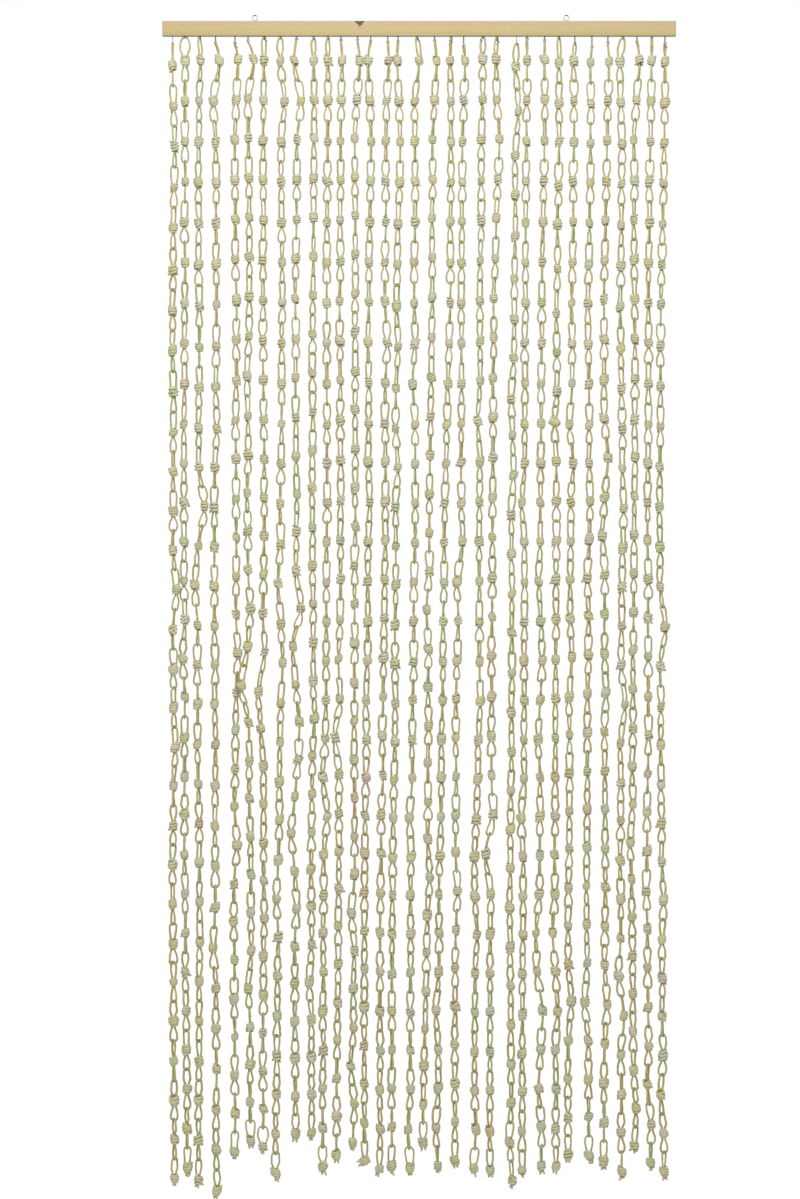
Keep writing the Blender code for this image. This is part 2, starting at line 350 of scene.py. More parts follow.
def wire_along(name, runs, thickness, sides_step, smoothness):
    """Round wire or cord along each run of points, as a mesh.

    A point is a place and a share of the thickness.
    """
    curve = bpy.data.curves.new(name, "CURVE")
    curve.dimensions = "3D"
    curve.bevel_depth = thickness / 2
    curve.bevel_resolution = sides_step
    curve.resolution_u = smoothness
    curve.use_fill_caps = True
    for run in runs:
        spline = curve.splines.new("BEZIER")
        spline.bezier_points.add(len(run) - 1)
        for point, (spot, share) in zip(spline.bezier_points, run):
            point.co = spot
            point.radius = share
            point.handle_left_type = "AUTO"
            point.handle_right_type = "AUTO"
    wire = bpy.data.objects.new(name, curve)
    bpy.context.scene.collection.objects.link(wire)
    select_only(wire)
    bpy.ops.object.convert(target="MESH")
    bpy.ops.object.mode_set(mode="EDIT")
    bpy.ops.mesh.select_all(action="SELECT")
    bpy.ops.mesh.remove_doubles(threshold=MERGED_WITHIN)
    bpy.ops.mesh.normals_make_consistent(inside=False)
    bpy.ops.object.mode_set(mode="OBJECT")
    bpy.ops.object.shade_smooth()
    return wire


# Zinc plate: a grey metal with a faint cloudy bloom, duller than chrome, so it reflects softly. The crest
# of each ring is painted dark grey.
BLOOM_SIZE = 2 * MM
DARK_CREST_FROM = 0.6 * EYE_RADIUS

zinc, tree, shader = new_material("zinc plated steel wire")
place = add_node(tree, "TexCoord", {}).outputs["Object"]
bloom = add_node(tree, "TexNoise", {"Vector": place, "Scale": 1 / BLOOM_SIZE, "Detail": 3.0})
bloom_colour = add_node(
    tree,
    "ValToRGB",
    {"Fac": bloom.outputs["Fac"]},
    stops=((0.3, "AEAEAA"), (0.7, "D4D4D0")),
)
bloom_gloss = add_node(
    tree, "MapRange", {"Value": bloom.outputs["Fac"], "To Min": 0.3, "To Max": 0.55}
)
up_place = add_node(tree, "SeparateXYZ", {0: place})
# The top of each ring is painted dark grey, darkest at the crest.
dark_crest = add_node(
    tree,
    "MapRange",
    {"Value": up_place.outputs["Z"], "From Min": DARK_CREST_FROM, "From Max": EYE_RADIUS},
)
shown_zinc = add_node(
    tree,
    "MixRGB",
    {"Fac": dark_crest.outputs[0], "Color1": bloom_colour.outputs["Color"], "Color2": colour("2C2C2A")},
)
tree.links.new(shown_zinc.outputs["Color"], shader.inputs["Base Color"])
tree.links.new(bloom_gloss.outputs[0], shader.inputs["Roughness"])
shader.inputs["Metallic"].default_value = 1.0

for side in ("left", "right"):
    eye_low, eye_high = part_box("screw_eye_" + side)
    eye_across = (eye_low.x + eye_high.x) / 2
    ring = [
        math.radians(-90 + (360 - EYE_MOUTH) * step / EYE_STEPS) for step in range(EYE_STEPS + 1)
    ]
    run = [((eye_across, 0, BATTEN_HIGH.z - EYE_IN_WOOD), 1), ((eye_across, 0, BATTEN_HIGH.z), 1)]
    run += [
        ((eye_across + EYE_RADIUS * math.cos(turn), 0, EYE_RADIUS * math.sin(turn)), 1)
        for turn in ring
    ]
    eye = wire_along("wire_eye_" + side, [run], EYE_WIRE, EYE_SIDES_STEP, EYE_SMOOTHNESS)
    eye.data.materials.append(zinc)
    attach(eye, "root")
    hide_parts("screw_eye_" + side)

# The tied links
# A link is a ring of twisted paper cord, drawn together in its middle by a barrel knot of about four
# turns, so that an open loop stands above the knot and another hangs below it. Every link is tied by
# hand, so its loops and turns lie a little differently. Sixteen are tied here, upright and flat about
# their knots, and the chains are hung from copies of them. The two end links of a chain are its own.

CORD_THICKNESS = 3.45 * MM
CORD_THICKNESS_SPREAD = 0.5 * MM
CORD_SIDES_STEP = 1
CORD_SMOOTHNESS = 2
KNOT_HEIGHT = 20 * MM
BEND_FROM_KNOT = 36 * MM
LOOP_HALF_WIDTH = 5.9 * MM
FLAT_LOOP_WIDTH = 10 * MM
KNOT_CORD_SHARE = 1.4
KNOT_SINKS = 0.5 * MM
KNOT_HALF_WIDTH = 7.8 * MM
KNOT_HALF_DEPTH = 7.0 * MM
PRESSED_FROM = 3.5 * MM
PRESSED_TO = 0.72
POINTS_A_TURN = 5
LAST_KNOT_SIZE = 1.08
TIED_LINKS = 16
TYING_SEED = 1000
TiedLink = namedtuple("TiedLink", "cord points knotted upper_line")

# How far hand work varies a loop, from the least to the most. The first four are shares of its half
# width, and the last is a share of the cord's thickness.
LOOP_SIZES = (0.87, 1.13)
WAISTS = (-0.16, 0.12)
FULLNESSES = (-0.12, 0.1)
SQUARENESSES = (-0.1, 0.2)
LOOP_LEAN = 1.3 * MM
LEG_OFFSETS = (0.2 * MM, 2.0 * MM)
LOOP_UNEVENNESS = 0.5 * MM
LOOP_UNEVENNESS_ALONG = 0.9 * MM
LOOP_CORD_SHARES = (0.93, 1.08)

# Half of each loop's outline, as shares of the way from the knot's end to the bend and of the half
# width. The legs of an upper loop stand apart in the knot, and those of a lower loop leave it together.
UPPER_OUTLINE = ((-0.3, 0.48), (0.03, 0.78), (0.3, 1.0), (0.66, 1.0), (0.93, 0.7))
LOWER_OUTLINE = ((-0.3, 0.34), (0.03, 0.42), (0.32, 0.86), (0.7, 1.02), (0.93, 0.74))
FIRST_OUTLINE = ((-0.3, 0.42), (0.03, 0.68), (0.32, 1.0), (0.68, 0.92), (0.93, 0.5))

# The cord lies unevenly past the first of these shares of the way, and the loop leans before the second.
LOOSE_FROM = 0.1
LEANS_UP_TO = 0.6


def loop_run(chance, shape, side, width=None):
    """A loop's centre line from the knot round its bend and back. Side is 1 above the knot, -1 below."""
    start = KNOT_HEIGHT / 2
    reach = BEND_FROM_KNOT - start
    if width:
        half_width = (width - CORD_THICKNESS) / 2
    else:
        half_width = LOOP_HALF_WIDTH * chance.uniform(*LOOP_SIZES)
    waist = chance.uniform(*WAISTS)
    fullness = chance.uniform(*FULLNESSES)
    squareness = chance.uniform(*SQUARENESSES)
    lean = chance.uniform(-LOOP_LEAN, LOOP_LEAN)
    leg_offset = chance.choice((-1, 1)) * chance.uniform(*LEG_OFFSETS)
    if width and width > FLAT_LOOP_WIDTH:
        leg_offset = 0
    if shape is FIRST_OUTLINE:
        squareness = 0
    changes = (waist, waist, fullness, 0, squareness)
    half = [(share, (across + change) * half_width) for (share, across), change in zip(shape, changes)]
    outline = half + [(1, 0)] + [(share, -across) for share, across in half[::-1]]
    run = []
    for share, across in outline:
        loose = LOOSE_FROM < share < 1
        parted = math.copysign(leg_offset, across) * math.sqrt(max(math.sin(math.pi * share), 0))
        leaning = max(LEANS_UP_TO - share, 0) * lean
        uneven_across = loose * chance.uniform(-LOOP_UNEVENNESS, LOOP_UNEVENNESS)
        uneven_deep = loose * chance.uniform(-LOOP_UNEVENNESS, LOOP_UNEVENNESS)
        uneven_along = loose * chance.uniform(-LOOP_UNEVENNESS_ALONG, LOOP_UNEVENNESS_ALONG)
        spot = Vector(
            (
                across + leaning + uneven_across,
                parted + uneven_deep,
                side * (start + share * reach + uneven_along),
            )
        )
        run.append((spot, chance.uniform(*LOOP_CORD_SHARES)))
    return run


# How far hand work varies a knot, from the least to the most: its turns, its size, how far its turns
# slant and what share of the cord's thickness they have
TURNS = (3.4, 4.0)
TURNS_UNDER_A_RIDING_ONE = (3.0, 3.3)
KNOT_HEIGHT_SHARES = (0.94, 1.06)
KNOT_WIDTH_SHARES = (0.92, 1.08)
KNOT_SLANTS = (0.5 * MM, 2.2 * MM)
KNOT_CORD_SHARES = (0.92, 1.08)
TURN_UNEVENNESS = 0.4 * MM

# A knot's width from bottom to top, as shares of its full width: it starts narrow, widens and bulges
KNOT_START_WIDTH = 0.62
KNOT_WIDENING = 0.18
KNOT_BULGE = 0.33
KNOT_WIDTH_UNEVENNESS = 0.07

# Every fourth link that is tied has a riding turn, which lies on the others. Its points: how far round
# each is from the end of the turns, in radians, and how high, as a share of the knot's half height.
RIDING_EVERY = 4
RIDING_POINTS = ((0.9, 0.2), (1.8, -0.35), (2.7, -0.9))
RIDING_LIES_OUT = 1.2 * MM
RIDING_CORD_SHARE = 0.94

# A cut end of a knot stands out or is tucked in: its parts along the cord and outwards, and its length
END_STANDS_OUT_CHANCE = 0.35
STANDING_END = (0.6, 0.8)
STANDING_END_LENGTHS = (2.0 * MM, 3.6 * MM)
TUCKED_END = (0.9, -0.3)
TUCKED_END_LENGTH = 2.5 * MM
END_RISE = 0.8 * MM
END_SHARE = 1.05


def knot_run(chance, thickness, riding, size=1.0):
    """The turns of a barrel knot with its two cut ends. A riding turn crosses back over the others."""
    turns = chance.uniform(*(TURNS_UNDER_A_RIDING_ONE if riding else TURNS))
    half_height = KNOT_HEIGHT / 2 * chance.uniform(*KNOT_HEIGHT_SHARES) - KNOT_CORD_SHARE * thickness / 2
    half_width = KNOT_HALF_WIDTH * size * chance.uniform(*KNOT_WIDTH_SHARES)
    half_depth = KNOT_HALF_DEPTH * size * chance.uniform(*KNOT_WIDTH_SHARES)
    first = chance.uniform(0, math.tau)
    slant = chance.uniform(*KNOT_SLANTS)
    slant_from = chance.uniform(0, math.tau)
    steps = round(turns * POINTS_A_TURN)
    run = []
    for step in range(steps + 1):
        share = step / steps
        turn = first + share * turns * math.tau
        bulge = KNOT_START_WIDTH + KNOT_WIDENING * share + KNOT_BULGE * math.sin(share * math.pi)
        bulge += chance.uniform(-KNOT_WIDTH_UNEVENNESS, KNOT_WIDTH_UNEVENNESS)
        height = (2 * share - 1) * half_height - KNOT_SINKS + slant * math.sin(turn + slant_from)
        spot = Vector(
            (
                half_width * bulge * math.cos(turn),
                half_depth * bulge * math.sin(turn),
                height + chance.uniform(-TURN_UNEVENNESS, TURN_UNEVENNESS),
            )
        )
        run.append((spot, KNOT_CORD_SHARE * chance.uniform(*KNOT_CORD_SHARES)))
    if riding:
        last = first + turns * math.tau
        for further, height_share in RIDING_POINTS:
            spot = Vector(
                (
                    (half_width + RIDING_LIES_OUT) * math.cos(last + further),
                    (half_depth + RIDING_LIES_OUT) * math.sin(last + further),
                    half_height * height_share,
                )
            )
            run.append((spot, KNOT_CORD_SHARE * RIDING_CORD_SHARE))
    for end, neighbour in ((0, 1), (-1, -2)):
        spot, _share = run[end]
        along = (spot - run[neighbour][0]).normalized()
        outwards = Vector((spot.x, spot.y, 0)).normalized()
        if chance.random() < END_STANDS_OUT_CHANCE:
            direction = along * STANDING_END[0] + outwards * STANDING_END[1]
            tip = spot + direction * chance.uniform(*STANDING_END_LENGTHS)
        else:
            direction = along * TUCKED_END[0] + outwards * TUCKED_END[1]
            tip = spot + direction * TUCKED_END_LENGTH
        tip.z += chance.uniform(-END_RISE, END_RISE)
        if end == 0:
            run.insert(0, (tip, END_SHARE))
        else:
            run.append((tip, END_SHARE))
    return run


# The last knot's cut ends hang out of it: how many there are, how long they hang, how far they spread,
# how far round each may stray in radians, where they start, and where they bend, as shares of their
# spread and length. The shares after that are of the cord's thickness.
CUT_ENDS = (2, 2, 3)
CUT_END_LENGTHS = (3.0 * MM, 5.6 * MM)
CUT_END_SPREADS = (0.8 * MM, 3.6 * MM)
CUT_END_STRAYS = 0.5
CUT_END_FROM_MIDDLE = 2.2 * MM
CUT_END_IN_KNOT = 3 * MM
CUT_END_BEND_OUT = 0.45
CUT_END_BEND_DOWN = 0.4
CUT_START_SHARE = 1.1
CUT_BEND_SHARE = 1.25
CUT_TIP_SHARES = (0.95, 1.25)


def cut_end_runs(chance):
    """The cut ends that hang out of the last knot of a chain."""
    down = Vector((0, 0, -1))
    runs = []
    ends = chance.choice(CUT_ENDS)
    first = chance.uniform(0, math.tau)
    for end in range(ends):
        turn = first + math.tau * end / ends + chance.uniform(-CUT_END_STRAYS, CUT_END_STRAYS)
        length = chance.uniform(*CUT_END_LENGTHS)
        spread = chance.uniform(*CUT_END_SPREADS)
        outwards = Vector((math.cos(turn), math.sin(turn), 0))
        start = outwards * CUT_END_FROM_MIDDLE + down * (KNOT_HEIGHT / 2 - CUT_END_IN_KNOT)
        bend = outwards * (CUT_END_FROM_MIDDLE + spread * CUT_END_BEND_OUT)
        bend += down * (KNOT_HEIGHT / 2 + length * CUT_END_BEND_DOWN)
        tip = outwards * (CUT_END_FROM_MIDDLE + spread) + down * (KNOT_HEIGHT / 2 + length)
        tip_share = chance.uniform(*CUT_TIP_SHARES)
        runs.append([(start, CUT_START_SHARE), (bend, CUT_BEND_SHARE), (tip, tip_share)])
    return runs


def cord_along(run, thickness, knotted):
    """Cord along a run, as a mesh. Its map gives metres along the cord and its share of the way round."""
    cord = wire_along("cord", [run], thickness, CORD_SIDES_STEP, CORD_SMOOTHNESS)
    length = sum((end - start).length for (start, _), (end, _) in zip(run, run[1:]))
    layer = cord.data.uv_layers[0]
    layer.name = "cord"
    places = np.empty(len(layer.uv) * 2, np.float32)
    layer.uv.foreach_get("vector", places)
    places[0::2] *= length
    layer.uv.foreach_set("vector", places)
    in_knot = cord.data.attributes.new("in_knot", "FLOAT", "POINT")
    in_knot.data.foreach_set("value", np.full(len(cord.data.vertices), knotted, np.float32))
    cord.data.attributes.new("tone", "FLOAT", "POINT")
    cord.data.attributes.new("dye", "FLOAT", "POINT")
    return cord


def tie_link(number, thickness, upper=UPPER_OUTLINE, width=None, last=False):
    """One tied link about its knot, whose turns are pressed flat. The last of a chain ends in cut ends."""
    chance = random.Random(TYING_SEED + number)
    riding = number % RIDING_EVERY == RIDING_EVERY - 1
    upper_run = loop_run(chance, upper, 1, width)
    parts = [cord_along(upper_run, thickness, 0.0)]
    turns_run = knot_run(chance, thickness, riding, LAST_KNOT_SIZE if last else 1.0)
    parts.append(cord_along(turns_run, thickness, 1.0))
    if last:
        parts += [cord_along(run, thickness, 1.0) for run in cut_end_runs(chance)]
    else:
        parts.append(cord_along(loop_run(chance, LOWER_OUTLINE, -1), thickness, 0.0))
    select_only(*parts)
    bpy.ops.object.join()
    points = np.empty(len(parts[0].data.vertices) * 3, np.float32)
    parts[0].data.vertices.foreach_get("co", points)
    knotted = np.empty(len(parts[0].data.vertices), np.float32)
    parts[0].data.attributes["in_knot"].data.foreach_get("value", knotted)
    upper_line = np.array([spot for spot, _share in upper_run], np.float32)
    points = points.reshape(-1, 3)
    around = np.maximum(np.hypot(points[:, 0], points[:, 1]), PRESSED_FROM)
    pressed = (PRESSED_FROM + (around - PRESSED_FROM) * PRESSED_TO) / around
    points[:, :2] *= np.where(knotted > 0, pressed, 1)[:, None]
    return TiedLink(parts[0], points, knotted, upper_line)


tied_links = []
for number in range(TIED_LINKS):
    heaviness = 2 * number / (TIED_LINKS - 1) - 1
    tied_links.append(tie_link(number, CORD_THICKNESS + heaviness * CORD_THICKNESS_SPREAD))

# Twisted paper cord: kraft paper dyed a dull straw colour and spun into cord, so it is quite matt, with
# slanting ridges where the paper folds over itself. Its dye took unevenly from one length to the next.
# The ridges are a real 1.8 mm apart.
RIDGE_SPACING = 1.8 * MM
RIDGES_ROUND = 3
FIBRE_WIDTH = 0.25 * MM
FIBRE_HEIGHT = 0.8
UNEVEN_PATCH = 1 / 130

paper, tree, shader = new_material("twisted paper cord")
place = add_node(tree, "TexCoord", {}).outputs["Object"]
mapped = add_node(tree, "SeparateXYZ", {0: add_node(tree, "UVMap", {}, uv_map="cord").outputs["UV"]})
tone = add_node(tree, "Attribute", {}, attribute_name="tone")
dye = add_node(tree, "Attribute", {}, attribute_name="dye")
in_knot = add_node(tree, "Attribute", {}, attribute_name="in_knot")
loop_colour = add_node(
    tree,
    "ValToRGB",
    {"Fac": tone.outputs["Fac"]},
    stops=(
        (0.0, "BBBA86"),
        (1.0, "C8B48A"),
        (0.3, "C0BC88"),
        (0.6, "C4BB86"),
        (0.85, "C6B887"),
    ),
)
# The cord in the knots is painted paler than in the loops. This is painted light that lifts the shade its
# tight turns cast on one another.
knot_colour_and_light = add_node(
    tree,
    "ValToRGB",
    {"Fac": tone.outputs["Fac"]},
    stops=(
        (0.0, "CFD1B6"),
        (1.0, "D7CAB5"),
        (0.3, "D5D3B7"),
        (0.6, "D7D1B6"),
        (0.85, "D7CEB4"),
    ),
)
cord_lit_in_knots = add_node(
    tree,
    "MixRGB",
    {
        "Fac": in_knot.outputs["Fac"],
        "Color1": loop_colour.outputs["Color"],
        "Color2": knot_colour_and_light.outputs["Color"],
    },
)
dye_strength = add_node(
    tree, "ValToRGB", {"Fac": dye.outputs["Fac"]}, stops=((0.0, "FFFFFF"), (1.0, "FCFCDF"))
)
tinged = add_node(
    tree,
    "MixRGB",
    {"Fac": 1.0, "Color1": cord_lit_in_knots.outputs["Color"], "Color2": dye_strength.outputs["Color"]},
    blend_type="MULTIPLY",
)
uneven = add_node(tree, "TexNoise", {"Vector": place, "Scale": 1 / UNEVEN_PATCH, "Detail": 2.0})
uneven_shade = add_node(
    tree,
    "MapRange",
    {"Value": uneven.outputs["Fac"], "From Min": 0.3, "From Max": 0.7, "To Min": 0.86, "To Max": 1.12},
)
ridge_along = add_node(
    tree, "Math", {0: mapped.outputs["X"], 1: math.tau / RIDGE_SPACING}, operation="MULTIPLY"
)
ridge_phase = add_node(
    tree,
    "Math",
    {0: mapped.outputs["Y"], 1: math.tau * RIDGES_ROUND, 2: ridge_along.outputs[0]},
    operation="MULTIPLY_ADD",
)
ridge = add_node(tree, "Math", {0: ridge_phase.outputs[0]}, operation="SINE")
fibres = add_node(tree, "TexNoise", {"Vector": place, "Scale": 1 / FIBRE_WIDTH, "Detail": 2.0})
ridge_height = add_node(
    tree,
    "Math",
    {0: fibres.outputs["Fac"], 1: FIBRE_HEIGHT, 2: ridge.outputs[0]},
    operation="MULTIPLY_ADD",
)
# The grooves between the ridges are darkened with painted shade, as well as by the bump.
ridge_shade = add_node(
    tree,
    "MapRange",
    {"Value": ridge_height.outputs[0], "From Min": -1.0, "From Max": 1.5, "To Min": 0.86, "To Max": 1.03},
)
shade = add_node(
    tree, "Math", {0: uneven_shade.outputs[0], 1: ridge_shade.outputs[0]}, operation="MULTIPLY"
)
shown_paper = add_node(
    tree,
    "MixRGB",
    {"Fac": 1.0, "Color1": tinged.outputs["Color"], "Color2": shade.outputs[0]},
    blend_type="MULTIPLY",
)
tree.links.new(shown_paper.outputs["Color"], shader.inputs["Base Color"])
paper_bump = add_node(
    tree, "Bump", {"Strength": 0.8, "Distance": 0.2 * MM, "Height": ridge_height.outputs[0]}
)
tree.links.new(paper_bump.outputs["Normal"], shader.inputs["Normal"])
shader.inputs["Roughness"].default_value = 0.85
shader.inputs["IOR"].default_value = 1.45
shader.inputs["Specular IOR Level"].default_value = 0.35

# The chains
# Each chain is a row of links that hang in one another, each turned about a quarter turn from the one
# above, on its own wire hook under the batten. They hang unevenly, as paper cord keeps the bends that it
# was packed in.

LINKS = 29
LINK_TURN = 90
LINK_TURN_SPREAD = 16
KNOT_TWIST_SPREAD = 22
HOOK_GAP = 0.3 * MM
PITCH_SPREAD = 1.2 * MM
SIDE_SPREAD = 0.8 * MM
DEPTH_SPREAD = 1.5 * MM
HANGING_SEED = 500
FIRST_LINK_NUMBER = 200
LAST_LINK_NUMBER = 100
PATTERN_SPREAD = 0.22
KNOT_SIZES = (0.9, 1.1)

# Each link's paper has its own tone and took the dye more or less: an attribute, its middle and spread
PAPER_DIFFERENCES = (("tone", 0.45, 0.25), ("dye", 0.5, 0.24))

# One row for each chain, from left to right. Lengths in millimetres, turns in degrees:
# place is along the batten from its left end, hook is how far the wire reaches below the batten,
# drops are knots below the batten's underside, sways are how far knots stand to the right of the hook,
# and turns are how far the first and the last loop are turned from the batten's face.
Chain = namedtuple(
    "Chain",
    "place hook drop_1 drop_10 drop_17 drop_29 "
    "sway_1 sway_3 sway_7 sway_12 sway_17 sway_22 sway_29 turn_1 turn_29",
)
CHAINS = [
    Chain(18, 14, 51, 694, 1177, 2002, 0, 3, 0, 1, 1, 0, 4, 85, 30),
    Chain(39, 3, 42, 680, 1159, 1983, 0, 0, 0, -2, 0, 0, 5, 0, 0),
    Chain(65, 3, 42, 687, 1170, 2004, 2, -2, -1, -2, -4, 0, -2, 65, 20),
    Chain(93, 12, 42, 686, 1171, 2023, 7, 0, 2, -2, -1, 0, 2, 80, 35),
    Chain(127, 13, 40, 673, 1150, 1955, 5, -1, 2, 2, 2, -2, 0, 80, 0),
    Chain(150, 9, 39, 665, 1136, 1936, 9, 1, 2, -1, 0, 5, 4, 85, 0),
    Chain(178, 3, 42, 673, 1147, 1946, 0, -1, -2, 0, -2, 0, -2, 55, 0),
    Chain(207, 4, 42, 680, 1168, 1992, 0, 1, 3, 0, 0, -4, -9, 20, 10),
    Chain(235, 6, 42, 668, 1136, 1923, -4, 2, -2, 0, -2, -3, -2, 85, 15),
    Chain(265, 5, 42, 658, 1129, 1922, 0, 1, -2, -2, -1, -4, -4, 50, 35),
    Chain(290, 4, 42, 680, 1163, 1981, 0, 0, -2, -1, -4, -8, -9, 55, 0),
    Chain(313, 8, 42, 673, 1161, 1960, 2, -1, -2, 0, -2, -4, -9, 85, 85),
    Chain(342, 7, 42, 654, 1133, 1939, 4, -5, -4, -4, -6, -5, -9, 85, 85),
    Chain(365, 9, 42, 677, 1164, 1971, -4, 1, -4, -4, -6, -11, -11, 80, 30),
    Chain(395, 11, 42, 677, 1157, 1985, 1, -3, -5, -4, -9, -13, -14, 75, 30),
    Chain(413, 10, 42, 687, 1168, 1980, -1, 4, -3, -4, -5, -10, -11, 75, 10),
    Chain(446, 4, 42, 680, 1164, 1983, 4, -4, -4, -3, -7, -11, -12, 55, 0),
    Chain(477, 8, 42, 666, 1141, 1939, 4, -4, -4, -9, -11, -12, -21, 65, 5),
    Chain(506, 4, 42, 680, 1164, 1980, -2, 0, -2, -11, -15, -21, -23, 55, 75),
    Chain(528, 17, 42, 679, 1161, 1971, 2, -2, -4, -4, -13, -14, -16, 85, 20),
    Chain(562, 3, 39, 675, 1166, 1985, 0, -2, -5, -6, -7, -14, -16, 20, 0),
    Chain(586, 4, 40, 668, 1157, 1987, -2, 4, -5, -7, -9, -11, -12, 60, 15),
    Chain(621, 14, 53, 700, 1185, 2006, -2, -2, -4, -9, -9, -12, -8, 30, 60),
    Chain(639, 5, 42, 679, 1164, 1988, 0, -1, -3, -5, -5, -7, -9, 80, 25),
    Chain(670, 8, 40, 679, 1163, 1980, 0, 0, -5, -7, -7, -9, -5, 75, 75),
    Chain(695, 4, 46, 675, 1161, 1981, 0, 0, -4, -4, -6, -7, -5, 50, 40),
    Chain(723, 13, 42, 680, 1157, 1960, -2, -2, -5, -7, -9, -11, -12, 60, 10),
    Chain(753, 19, 46, 680, 1152, 1962, -2, -2, -7, -4, -7, -10, -5, 90, 5),
    Chain(781, 12, 44, 670, 1150, 1971, 2, -1, -7, -6, -6, -5, -7, 75, 5),
    Chain(807, 4, 44, 689, 1171, 1990, -5, -2, -4, 1, -4, -4, -2, 15, 85),
    Chain(832, 10, 42, 670, 1145, 1945, 5, -6, -4, -4, -7, -9, -5, 80, 35),
    Chain(858, 5, 42, 679, 1156, 1974, 0, -3, -6, -7, -6, -9, -3, 80, 65),
    Chain(881, 14, 44, 684, 1175, 1990, 0, -1, -7, -9, -7, -6, -2, 80, 55),
]
DROP_KNOTS = (1, 10, 17, 29)
SWAY_KNOTS = (1, 3, 7, 12, 17, 22, 29)
TURN_KNOTS = (1, 8, 15, 22, 29)

# Knots that are caught or kinked, by chain: how far each stands to the right of its neighbours,
# in millimetres
KINKS = {
    1: {14: 6, 18: 3},
    2: {16: -3},
    3: {12: 11, 14: -5},
    4: {2: -7, 10: 3, 23: -4},
    5: {16: 3, 21: 4},
    6: {2: -5, 9: -3, 15: 5, 17: -12, 25: -4},
    7: {16: 3, 17: -7, 18: -4},
    8: {2: 7, 14: -4, 16: 3, 22: -3},
    9: {2: 9, 15: 8, 16: -5, 18: 7, 19: 5, 21: -6, 23: 3},
    10: {18: 3, 25: -3},
    11: {19: -3, 20: 6},
    12: {16: -3, 18: -9},
    13: {23: -5, 27: -4, 28: 3},
    14: {12: 3, 17: -2},
    15: {8: 3, 19: 3},
    16: {8: 3, 11: 3},
    17: {2: -4, 9: -3, 20: -3, 28: -4},
    18: {15: -3, 22: 3},
    19: {25: -4, 28: -4},
    20: {13: 4, 14: -3, 22: 4},
    21: {10: -4, 17: 3, 21: -3, 23: 3, 28: 3},
    22: {20: 4, 21: -8},
    23: {2: 5, 9: -4, 11: 3, 28: -4},
    24: {12: -4, 20: -4},
    25: {14: -3, 16: 3, 18: -4, 23: -7, 24: -5, 25: 3, 27: -5},
    26: {10: -4, 23: -4, 25: 3},
    27: {10: -3, 11: 3, 16: 3, 25: 5},
    28: {14: -3, 25: -5},
    29: {11: 6, 13: -3, 17: 3, 25: 4},
    30: {17: 7, 24: -4, 25: 5},
    31: {21: -3, 28: 4},
    32: {27: -4, 28: 2},
    33: {15: 8, 22: 3, 27: -5},
}

# Knots that long links or a tangle let hang lower than even spacing would have them, by chain and knot,
# in millimetres
SAGS = {
    23: {2: 6, 3: 11, 4: 10, 5: 10, 6: 12, 7: 11, 8: 7, 9: 6},
    26: {4: 5, 5: 5, 6: 12, 7: 19, 8: 18, 9: 18},
}

# Where a chain would cut through the next one it hangs in front of it, by chain and knot,
# in millimetres towards the viewer
FORWARD = {
    1: {13: 4, 14: 8, 15: 4},
    6: {16: 5, 17: 14, 18: 5},
}

# A tied link's place: where its knot lies, and the planes of its upper and lower loops
Link = namedtuple("Link", "knot upper_turn lower_turn")


def between(knot, knots, values):
    """The value at a knot, read straight between the values given for the listed knots."""
    for low, high, start, end in zip(knots, knots[1:], values, values[1:]):
        if knot <= high:
            return start + (end - start) * (knot - low) / (high - low)


def links_of(number):
    """The links of one chain from top to bottom, each about a quarter turn from the one above.

    Between its first and last loops a chain's planes wander at random.
    """
    chain = CHAINS[number - 1]
    hook = BATTEN_LOW.x + chain.place * MM
    drops = (chain.drop_1, chain.drop_10, chain.drop_17, chain.drop_29)
    sways = (
        chain.sway_1,
        chain.sway_3,
        chain.sway_7,
        chain.sway_12,
        chain.sway_17,
        chain.sway_22,
        chain.sway_29,
    )
    wander = random.Random(LINKS * number)
    turns = [wander.uniform(0, LINK_TURN) for _knot in TURN_KNOTS]
    turns[0] = chain.turn_1
    turns[-1] = chain.turn_29
    chance = random.Random(number)
    links = []
    for knot in range(1, LINKS + 1):
        inner = 1 < knot < LINKS
        aside = between(knot, SWAY_KNOTS, sways) + KINKS[number].get(knot, 0)
        drop = between(knot, DROP_KNOTS, drops) + SAGS.get(number, {}).get(knot, 0)
        forward = FORWARD.get(number, {}).get(knot, 0)
        spot = Vector(
            (
                hook + aside * MM + chance.uniform(-SIDE_SPREAD, SIDE_SPREAD),
                -forward * MM + chance.uniform(-DEPTH_SPREAD, DEPTH_SPREAD),
                BATTEN_LOW.z - drop * MM + inner * chance.uniform(-PITCH_SPREAD, PITCH_SPREAD),
            )
        )
        upper_turn = between(knot, TURN_KNOTS, turns) + LINK_TURN * (knot - 1)
        upper_turn += inner * chance.uniform(-LINK_TURN_SPREAD, LINK_TURN_SPREAD)
        lower_turn = upper_turn + chance.uniform(-KNOT_TWIST_SPREAD, KNOT_TWIST_SPREAD)
        links.append(Link(spot, upper_turn, lower_turn))
    return links


# How wide the first and the last loop of a chain are across, where the photograph shows it, in
# millimetres. Under the wire a loop is drawn narrow, and the last one is slack and may be round.
FIRST_LOOP_WIDTH = 9
FIRST_LOOP_WIDTHS = {
    2: 20,
    3: 15.5,
    7: 16.5,
    8: 13.5,
    10: 15,
    11: 15,
    17: 16.5,
    21: 13,
    22: 15.5,
    23: 14,
    26: 15,
    27: 15.5,
    30: 14.5,
}
LAST_LOOP_WIDTH = 14.5
LAST_LOOP_WIDTHS = {
    1: 13.5,
    3: 12.5,
    5: 16,
    6: 18,
    7: 20,
    8: 16,
    11: 17,
    17: 19,
    18: 16,
    21: 17.5,
    26: 13.5,
    28: 17,
}

# Knots that lie tilted, by chain and knot, in degrees from upright to the right
KNOT_TILTS = {14: {29: 65}, 26: {10: -60}}
TILT_A_MM_OF_KINK = 1.5
TILT_SPREAD = 7


